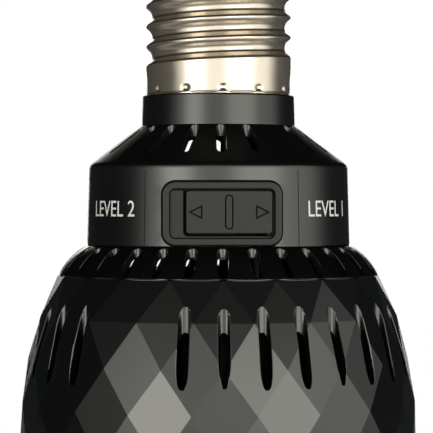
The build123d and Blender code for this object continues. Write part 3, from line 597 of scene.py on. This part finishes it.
def print_white():
    return moulded(
        "print_white", colour=(0.6, 0.6, 0.6), worn=(0.44, 0.44, 0.44), rough=(0.5, 0.6),
        grain_scale=6000.0, grain_depth=0.004)[0]


def plain_moulded(name, colour, worn_lift, rough):
    worn = tuple(min(WORN_LIMIT, part * worn_lift) for part in colour)
    return moulded(name, colour, worn, rough, PLAIN_GRAIN_SCALE, PLAIN_GRAIN_DEPTH)[0]


def metal(name, colour, tarnish, rough, ring_scale, ring_depth):
    """Plated or bare metal with fine rings and slow tarnish."""
    material, tree, shader = new_material(name)
    rings = place_group(tree, RINGS, Ring_scale=ring_scale)
    tone = rings.outputs["Tone"]
    shade = remap(tree, tone, *TARNISH_EDGE, 0.0, TARNISH_MOST)
    feed(tree, shader.inputs["Base Color"], mix_colour(tree, shade, (*colour, 1.0), (*tarnish, 1.0)))
    feed(tree, shader.inputs["Roughness"], remap(tree, tone, *NOISE_SPAN, *rough))
    feed(tree, shader.inputs["Normal"], bump(tree, rings.outputs["Height"], ring_depth))
    shader.inputs["Metallic"].default_value = 1.0
    return material, shader


def cap_nickel():
    """Nickel plate, with brown tarnish and painted shade on the upper side of the thread and in the dents."""
    material, shader = metal(
        "nickel_plate", colour=(0.54, 0.485, 0.415), tarnish=(0.44, 0.38, 0.31), rough=(0.18, 0.245),
        ring_scale=3000.0, ring_depth=0.002)
    shader.inputs["Metallic"].default_value = NICKEL_METALLIC
    tree = material.node_tree
    # Painted shade: faces that turn partly upwards are darkened brown, in place of the thread's dark
    # reflections, with some tarnish
    facing = upward_facing(tree)
    rising = remap(tree, facing, *STAIN_AND_SHADE_FROM, 0.0, STAIN_AND_SHADE)
    thinning = remap(tree, facing, *STAIN_AND_SHADE_TO, 1.0, STAIN_AND_SHADE_LEFT)
    plate = shader.inputs["Base Color"].links[0].from_socket
    stained_and_shaded = mix_colour(tree, math_node(tree, "MULTIPLY", rising, thinning), plate, STAIN_AND_SHADE_COLOUR)
    feed(tree, shader.inputs["Base Color"], stained_and_shaded)
    return material


def clear_lens():
    material, _, shader = new_material("clear_lens")
    shader.inputs["Base Color"].default_value = LENS_COLOUR
    shader.inputs["Transmission Weight"].default_value = 1.0
    shader.inputs["Roughness"].default_value = LENS_ROUGH
    shader.inputs["IOR"].default_value = LENS_IOR
    return material


def paint_nodes():
    """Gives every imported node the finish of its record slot."""
    finishes = {
        "housing_satin": housing_satin(),
        "housing_gloss": housing_gloss(),
        "switch_black": switch_black(),
        "lens_clear": clear_lens(),
        "sink_black": deep_matt("sink_black"),
        "cap_nickel": cap_nickel(),
    }
    for name, looks in PLAIN_MOULDINGS.items():
        finishes[name] = plain_moulded(name, *looks)
    for name, looks in BARE_METALS.items():
        finishes[name] = metal(name, *looks, BARE_RING_DEPTH)[0]
    for part in frame["record"]["subparts"]:
        node = frame["nodes"][part["node"]]
        for holder in node.material_slots:
            holder.material = finishes[part["material_slot"]]
    return finishes


# Screw shell
def thread_radius(z, azimuth):
    """Outside radius of the threaded shell: a groove that starts at the back and winds up to the right."""
    turned = ((azimuth - THREAD_START_AZIMUTH) % 360.0) / 360.0
    base = SKIRT_R + (THREAD_CREST_R - SKIRT_R) * smooth_step(*SKIRT_FLARE, z)
    climb = (z - THREAD_START_Z) / THREAD_PITCH - turned
    turns = math.floor(climb) + turned
    fade_in = smooth_step(0.0, THREAD_FADE_TURNS, turns)
    fade_out = smooth_step(THREAD_TURNS, THREAD_TURNS - THREAD_FADE_TURNS, turns)
    crest = abs(math.cos(math.pi * climb)) ** (2.0 * THREAD_CREST_POWER)
    return base - THREAD_DEPTH * (1.0 - crest) * fade_in * fade_out


def crimp_dent(z, azimuth):
    """Depth of the punched dents and of the fine hem line that runs from dent to dent."""
    pitch = 360.0 / CRIMP_COUNT
    aside = (azimuth - CRIMP_FIRST_AZIMUTH + pitch / 2.0) % pitch - pitch / 2.0
    across = math.radians(aside) * SKIRT_R
    away = math.hypot(across, z - CRIMP_Z)
    dent = CRIMP_DEPTH * math.exp(-((away / CRIMP_R) ** CRIMP_POWER))
    hem_z = SKIRT_Z + HEM_RISE + HEM_LIFT * math.exp(-((across / HEM_LIFT_W) ** 2))
    hem = HEM_DEPTH * math.exp(-(((z - hem_z) / HEM_W) ** 2))
    return max(dent, hem)


def rolled_radius(z, azimuth):
    return thread_radius(z, azimuth) - crimp_dent(z, azimuth)


def even_radius(radius):
    """Radius function of a plain ring."""
    return lambda z, azimuth: radius


def steps_between(low, high, step):
    """Even heights from one to the other, without the last."""
    count = round((high - low) / step)
    return [low + (high - low) * k / count for k in range(count)]


def threaded_shell(material):
    """Screw shell as one closed section: up the rolled outside, over the top and down the inside."""
    heights = steps_between(SKIRT_Z, SKIRT_FINE_Z, SKIRT_FINE_STEP)
    heights += steps_between(SKIRT_FINE_Z, SHELL_TAPER_Z, SHELL_STEP)
    rows = [(rolled_radius, z) for z in heights + [SHELL_TAPER_Z]]
    rows += [
        (even_radius(SHELL_TOP_R), SHELL_TOP_Z),
        (even_radius(SHELL_MOUTH_R), SHELL_TOP_Z),
        (even_radius(SHELL_INNER_R), SHELL_TAPER_Z),
        (even_radius(SHELL_INNER_R), SKIRT_TO_CREST[1]),
        (even_radius(SHELL_SKIRT_INNER_R), SKIRT_TO_CREST[0]),
        (even_radius(SHELL_SKIRT_INNER_R), SKIRT_Z),
    ]
    azimuths = [360.0 * k / SHELL_AROUND for k in range(SHELL_AROUND)]
    verts = [at_azimuth(radius_at(z, azimuth), azimuth, z) for radius_at, z in rows for azimuth in azimuths]
    mesh = mesh_from("threaded_shell", verts, ring_faces(len(rows), SHELL_AROUND))
    mesh.materials.append(material)
    piece = link_object("threaded_shell", mesh)
    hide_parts("screw_shell")
    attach(piece, LAMP)


# Switch band
def band_radius(z):
    return BAND_R - BAND_NARROWING / BAND_HEIGHT * (z - BAND_Z)


def printed_word(name, words, side, material):
    """Word printed round the band, as a skin of ink that stands just proud of it."""
    curve = bpy.data.curves.new(name, "FONT")
    curve.body = words
    curve.align_x = "CENTER"
    curve.extrude = PRINT_EXTRUDE
    text = link_object(name + "_flat", curve)
    mesh = settled_mesh(text)
    bpy.data.objects.remove(text)
    with mesh_edit(mesh) as maker:
        bmesh.ops.remove_doubles(maker, verts=maker.verts, dist=PRINT_WELD)
    heights = [v.co.y for v in mesh.vertices]
    scale = PRINT_CAP_HEIGHT / (max(heights) - min(heights))
    middle = (max(heights) + min(heights)) / 2.0
    for v in mesh.vertices:
        z = PRINT_Z + (v.co.y - middle) * scale
        radius = band_radius(z) + PRINT_PROUD + v.co.z * PRINT_THICK
        along = math.degrees(v.co.x * scale * PRINT_SQUEEZE / radius)
        v.co = at_azimuth(radius, side * PRINT_AZIMUTH + along, z)
    mesh.name = name
    piece = link_object(name, mesh)
    mesh.materials.clear()
    mesh.materials.append(material)
    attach(piece, LAMP)


def print_band():
    material = print_white()
    for name, (words, side) in PRINT_WORDS.items():
        printed_word(name, words, side, material)


def mould_lines():
    """Two fine ridges up the band, one each side of the switch."""
    count = len(MOULD_LINE_SECTION)
    verts = []
    faces = []
    for side in (-1, 1):
        first = len(verts)
        for z in MOULD_LINE_Z:
            for across, proud in MOULD_LINE_SECTION:
                radius = band_radius(z) + proud * MOULD_LINE_PROUD
                aside = math.degrees(across * MOULD_LINE_W / radius)
                verts.append(at_azimuth(radius, side * MOULD_LINE_AZIMUTH + aside, z))
        low = [first + k for k in range(count)]
        high = [first + count + k for k in range(count)]
        faces += [low, high]
        faces += [(low[k - 1], low[k], high[k], high[k - 1]) for k in range(count)]
    mesh = mesh_from("mould_lines", verts, faces, smooth=False)
    face_outwards(mesh)
    mesh.materials.append(deep_matt("mould_line"))
    piece = link_object("mould_lines", mesh)
    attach(piece, LAMP)


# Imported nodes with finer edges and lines
def node_copy(name, node_name):
    """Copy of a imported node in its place, with its triangles joined up."""
    node = frame["nodes"][node_name]
    mesh = node.data.copy()
    mesh.transform(node.matrix_world)
    piece = link_object(name, mesh)
    weld = piece.modifiers.new("weld", "WELD")
    weld.merge_threshold = WELD_GAP * MM
    return piece


def keep_crisp(mesh, sharp_angle):
    """Marks the edges that shade as edges: all sharp ones, and slight creases at the facets' heights."""
    with mesh_edit(mesh) as maker:
        for face in maker.faces:
            face.smooth = True
        for edge in maker.edges:
            height = (edge.verts[0].co.z + edge.verts[1].co.z) / 2.0 / MM
            limit = CREASE_ANGLE if FACET_ZONE[0] < height < FACET_ZONE[1] else sharp_angle
            edge.smooth = edge.calc_face_angle(0.0) < math.radians(limit)


def take_place(piece, node_name, body, sharp_angle):
    """Settles a reworked copy's mesh and puts it in its node's place."""
    piece.data = settled_mesh(piece)
    piece.modifiers.clear()
    normals = piece.data.attributes.get("custom_normal")
    if normals:
        piece.data.attributes.remove(normals)
    keep_crisp(piece.data, sharp_angle)
    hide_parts(node_name)
    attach(piece, body)


def engraved(name, node_name, cutters, body):
    """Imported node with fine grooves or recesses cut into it."""
    piece = node_copy(name, node_name)
    for cutter in cutters:
        cut = piece.modifiers.new(cutter.name, "BOOLEAN")
        cut.operation = "DIFFERENCE"
        cut.solver = "EXACT"
        cut.object = cutter
    take_place(piece, node_name, body, ENGRAVED_SHARP_ANGLE)
    for cutter in cutters:
        bpy.data.objects.remove(cutter)


def eased_housing():
    """Faceted housing with the edges of its slots eased."""
    piece = node_copy("eased_housing", "faceted_housing")
    flat = piece.modifiers.new("flat", "DECIMATE")
    flat.decimate_type = "DISSOLVE"
    flat.angle_limit = math.radians(FLAT_ANGLE)
    ease = piece.modifiers.new("ease", "BEVEL")
    ease.width = EASE_W * MM
    ease.segments = EASE_STEPS
    ease.limit_method = "ANGLE"
    ease.angle_limit = math.radians(EASE_ANGLE)
    ease.use_clamp_overlap = False
    take_place(piece, "faceted_housing", LAMP, HOUSING_SHARP_ANGLE)


# Knob and frame of the switch
def arrow_outline(tip, z, side, inset):
    """Corners of a triangle that points sideways, moved inwards by an inset."""
    slant = math.atan2(ARROW_HEIGHT / 2.0, ARROW_LENGTH)
    tip_in = inset / math.sin(slant)
    half = (ARROW_LENGTH - tip_in - inset) * math.tan(slant)
    base = tip - side * (ARROW_LENGTH - inset)
    return [(tip - side * tip_in, z), (base, z + side * half), (base, z - side * half)]


def rounded_outline(centre, size, corner_r, inset):
    """Rectangle with round corners, moved inwards by an inset."""
    radius = corner_r - inset
    points = []
    for quarter in range(4):
        across = 1.0 if quarter in (0, 3) else -1.0
        up = 1.0 if quarter in (0, 1) else -1.0
        x = centre[0] + across * (size[0] / 2.0 - corner_r)
        z = centre[1] + up * (size[1] / 2.0 - corner_r)
        for step in range(CORNER_STEPS + 1):
            turn = math.radians(90.0 * (quarter + step / CORNER_STEPS))
            points.append((x + radius * math.cos(turn), z + radius * math.sin(turn)))
    return points


def groove_cutter(name, outline_at, line, depth, face_y):
    """Closed ring with a pointed section, which cuts a fine groove along an outline."""
    extra = line / 2.0 * GROOVE_LEAD / depth
    loops = [
        (outline_at(-extra), face_y - GROOVE_LEAD),
        (outline_at(line + extra), face_y - GROOVE_LEAD),
        (outline_at(line / 2.0 + GROOVE_TIP), face_y + depth),
        (outline_at(line / 2.0 - GROOVE_TIP), face_y + depth),
    ]
    verts = [Vector((x, y, z)) * MM for points, y in loops for x, z in points]
    mesh = mesh_from(name, verts, ring_faces(len(loops), len(loops[0][0])), smooth=False)
    face_outwards(mesh)
    return link_object(name, mesh)


def arrow_cutter(centre, size, side, face_y):
    tip = centre[0] + side * (size[0] / 2.0 - ARROW_EDGE_GAP)
    return groove_cutter(
        "arrow", lambda inset: arrow_outline(tip, centre[1], side, inset), ARROW_LINE, ARROW_DEPTH, face_y)


def ring_cutter(name, centre, size, corner_r, margin, line, depth, face_y):
    """Cutter of a groove that runs round a rectangle, inside it by a margin."""
    return groove_cutter(
        name, lambda inset: rounded_outline(centre, size, corner_r, inset + margin), line, depth, face_y)


def grown(size, reach):
    """Sides of a rectangle that reaches out all round."""
    return [length + 2.0 * reach for length in size]


def knob_front():
    """Centre and size of the knob as its front shows them, and how far forward it comes."""
    low, high = node_box("switch_knob")
    centre = ((low.x + high.x) / 2.0, (low.z + high.z) / 2.0)
    return centre, (high.x - low.x, high.z - low.z), low.y


def engraved_knob():
    """Knob with an arrow to each side and a sharp line round its rib."""
    centre, size, rib_y = knob_front()
    face_y = rib_y + RIB_PROUD
    cutters = [arrow_cutter(centre, size, side, face_y) for side in (-1, 1)]
    groove = grown(RIB_SIZE, RIB_GROOVE_W)
    cutters.append(ring_cutter(
        "rib_line", centre, groove, groove[0] / 2.0, GROOVE_MARGIN,
        RIB_LINE, RIB_LINE_DEPTH, face_y + RIB_GROOVE_DEPTH))
    engraved("engraved_knob", "switch_knob", cutters, SLIDER)


def engraved_frame():
    """Frame with a deep line round the knob and a fine one along the edge of its floor."""
    centre, size, _ = knob_front()
    floor_y = node_box("switch_frame")[0].y + WINDOW_DEPTH
    shadow = ring_cutter(
        "knob_line", centre, grown(size, SHADOW_REACH), SHADOW_CORNER_R, 0.0,
        SHADOW_LINE, SHADOW_DEPTH, floor_y)
    edge = ring_cutter(
        "window_line", (0.0, WINDOW_Z), WINDOW_SIZE, WINDOW_CORNER_R, GROOVE_MARGIN,
        WINDOW_LINE, WINDOW_LINE_DEPTH, floor_y)
    engraved("engraved_frame", "switch_frame", [shadow, edge], LAMP)


# Light board
def light_faces(name, count, ring_r, first_azimuth, z, radius, bulge, material, slot):
    """Ring of round faces that bulge from the light packages."""
    mesh = bpy.data.meshes.new(name)
    shape = Matrix.Diagonal((1.0, 1.0, bulge / radius, 1.0))
    with mesh_edit(mesh) as maker:
        for k in range(count):
            place = Matrix.Translation(at_azimuth(ring_r, first_azimuth + 360.0 * k / count, z))
            bmesh.ops.create_uvsphere(
                maker, u_segments=DOT_STEPS[0], v_segments=DOT_STEPS[1], radius=radius * MM,
                matrix=place @ shape)
    mesh.polygons.foreach_set("use_smooth", [True] * len(mesh.polygons))
    mesh.materials.append(material)
    piece = link_object(name, mesh)
    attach(piece, LAMP)


def dress_light_board():
    light_faces("phosphor_dots", *PHOSPHOR_DOTS, plain_moulded("phosphor", *PHOSPHOR), "led_daylight")
    light_faces("uva_domes", *UVA_DOMES, plain_moulded("uva_dome", *UVA_RESIN), "led_uva")
    light_faces("uvb_windows", *UVB_WINDOWS, plain_moulded("uvb_window", *UVB_QUARTZ), "led_uvb")


def cross_cutter(place, size):
    """One bar of a cross recess."""
    mesh = bpy.data.meshes.new("cross")
    shape = Matrix.Diagonal((size[0] * MM, size[1] * MM, 2.0 * CROSS_DEPTH * MM, 1.0))
    with mesh_edit(mesh) as maker:
        bmesh.ops.create_cube(maker, size=1.0, matrix=place @ shape)
    return link_object("cross", mesh)


def crossed_screws():
    """Screws of the light board with a cross recess in each head."""
    node = frame["nodes"]["board_screws"]
    reach = max((node.matrix_world @ v.co).xy.length for v in node.data.vertices)
    bottom = node_box("board_screws")[0].z
    cutters = []
    for azimuth in SCREW_AZIMUTHS:
        place = Matrix.Translation(at_azimuth(reach / MM - SCREW_HEAD_R, azimuth, bottom))
        for size in ((CROSS_LENGTH, CROSS_W), (CROSS_W, CROSS_LENGTH)):
            cutters.append(cross_cutter(place, size))
    engraved("crossed_screws", "board_screws", cutters, LAMP)


# Stage
def look_at(thing, aim):
    thing.rotation_euler = (aim - thing.location).to_track_quat("-Z", "Y").to_euler()


def make_camera():
    turn = math.radians(CAMERA_AZIMUTH)
    right = Vector((math.cos(turn), math.sin(turn), 0.0))
    data = bpy.data.cameras.new("camera")
    data.lens = CAMERA_LENS
    data.clip_start = CAMERA_CLIP * MM
    camera = link_object("camera", data)
    camera.location = at_azimuth(CAMERA_DISTANCE, CAMERA_AZIMUTH, CAMERA_HEIGHT)
    look_at(camera, right * AIM_SIDE * MM + Vector((0.0, 0.0, AIM_HEIGHT * MM)))
    bpy.context.scene.camera = camera


def make_softbox(name, azimuth, elevation, distance, width, height, brightness):
    """Soft box with a power that makes its face as bright as asked."""
    data = bpy.data.lights.new(name, "AREA")
    data.shape = "RECTANGLE"
    data.size = width * MM
    data.size_y = height * MM
    data.energy = brightness * math.pi * data.size * data.size_y
    data.color = SOFTBOX_COLOUR
    box = link_object(name, data)
    level = math.radians(elevation)
    aim = Vector((0.0, 0.0, SOFTBOX_AIM_HEIGHT * MM))
    box.location = aim + at_azimuth(distance * math.cos(level), azimuth, distance * math.sin(level))
    look_at(box, aim)
    box.visible_camera = False


def make_world():
    """White for the camera, and a studio of soft walls for the light on the lamp."""
    world = bpy.data.worlds.new("studio")
    bpy.context.scene.world = world
    world.use_nodes = True
    tree = world.node_tree
    ground = tree.nodes["Background"]
    place = add_node(tree, "TexCoord").outputs["Generated"]
    way = split_vector(tree, place)
    ahead = add_node(tree, "VectorMath", operation="DOT_PRODUCT")
    feed(tree, ahead.inputs[0], place)
    feed(tree, ahead.inputs[1], at_azimuth(1.0 / MM, FILL_AZIMUTH))
    front = remap(tree, ahead.outputs["Value"], *FILL_EDGE, 0.0, FILL)
    low = remap(tree, way["Z"], *FILL_TOP, 1.0, FILL_TOP_SHARE)
    band = math_node(tree, "MULTIPLY", front, low)
    wall = remap(tree, way["Y"], *WALL_EDGE, 0.0, 1.0)
    glow = math_node(tree, "MAXIMUM", band, wall)
    lit = mix_colour(tree, glow, SHADE_COLOUR, FILL_COLOUR)
    feed(tree, ground.inputs["Color"], mix_colour(tree, shown_rays(tree), lit, WHITE))
    ground.inputs["Strength"].default_value = 1.0


def make_floor():
    """Pale floor that keeps the lamp's shadow.

    Further out it is white to the camera and open to the studio's glow.
    """
    mesh = bpy.data.meshes.new("floor")
    with mesh_edit(mesh) as maker:
        bmesh.ops.create_circle(maker, cap_ends=True, segments=FLOOR_SEGMENTS, radius=FLOOR_RADIUS * MM)
    floor = link_object("floor", mesh)
    material, tree, shader = new_material("floor_pale")
    shader.inputs["Base Color"].default_value = FLOOR_COLOUR
    shader.inputs["Roughness"].default_value = FLOOR_ROUGH
    away = add_node(tree, "VectorMath", operation="LENGTH")
    feed(tree, away.inputs[0], object_place(tree))
    far = remap(tree, away.outputs["Value"], FLOOR_SHADOW_RADIUS * MM, FLOOR_WHITE_RADIUS * MM, 0.0, 1.0)
    seen = shown_rays(tree)
    shader.inputs["Emission Color"].default_value = WHITE
    feed(tree, shader.inputs["Emission Strength"], math_node(tree, "MULTIPLY", seen, FLOOR_LIFT))
    beyond = mix_shaders(tree, seen, add_node(tree, "BsdfTransparent"), add_node(tree, "Emission"))
    blend = mix_shaders(tree, far, shader, beyond)
    feed(tree, tree.nodes["Material Output"].inputs["Surface"], blend.outputs[0])
    mesh.materials.append(material)


def main():
    bpy.context.scene.view_settings.view_transform = "Standard"
    finishes = paint_nodes()
    threaded_shell(finishes["cap_nickel"])
    engraved_knob()
    engraved_frame()
    eased_housing()
    crossed_screws()
    dress_light_board()
    print_band()
    mould_lines()
    make_camera()
    make_world()
    make_floor()
    for name, box in SOFTBOXES.items():
        make_softbox(name, *box)


main()
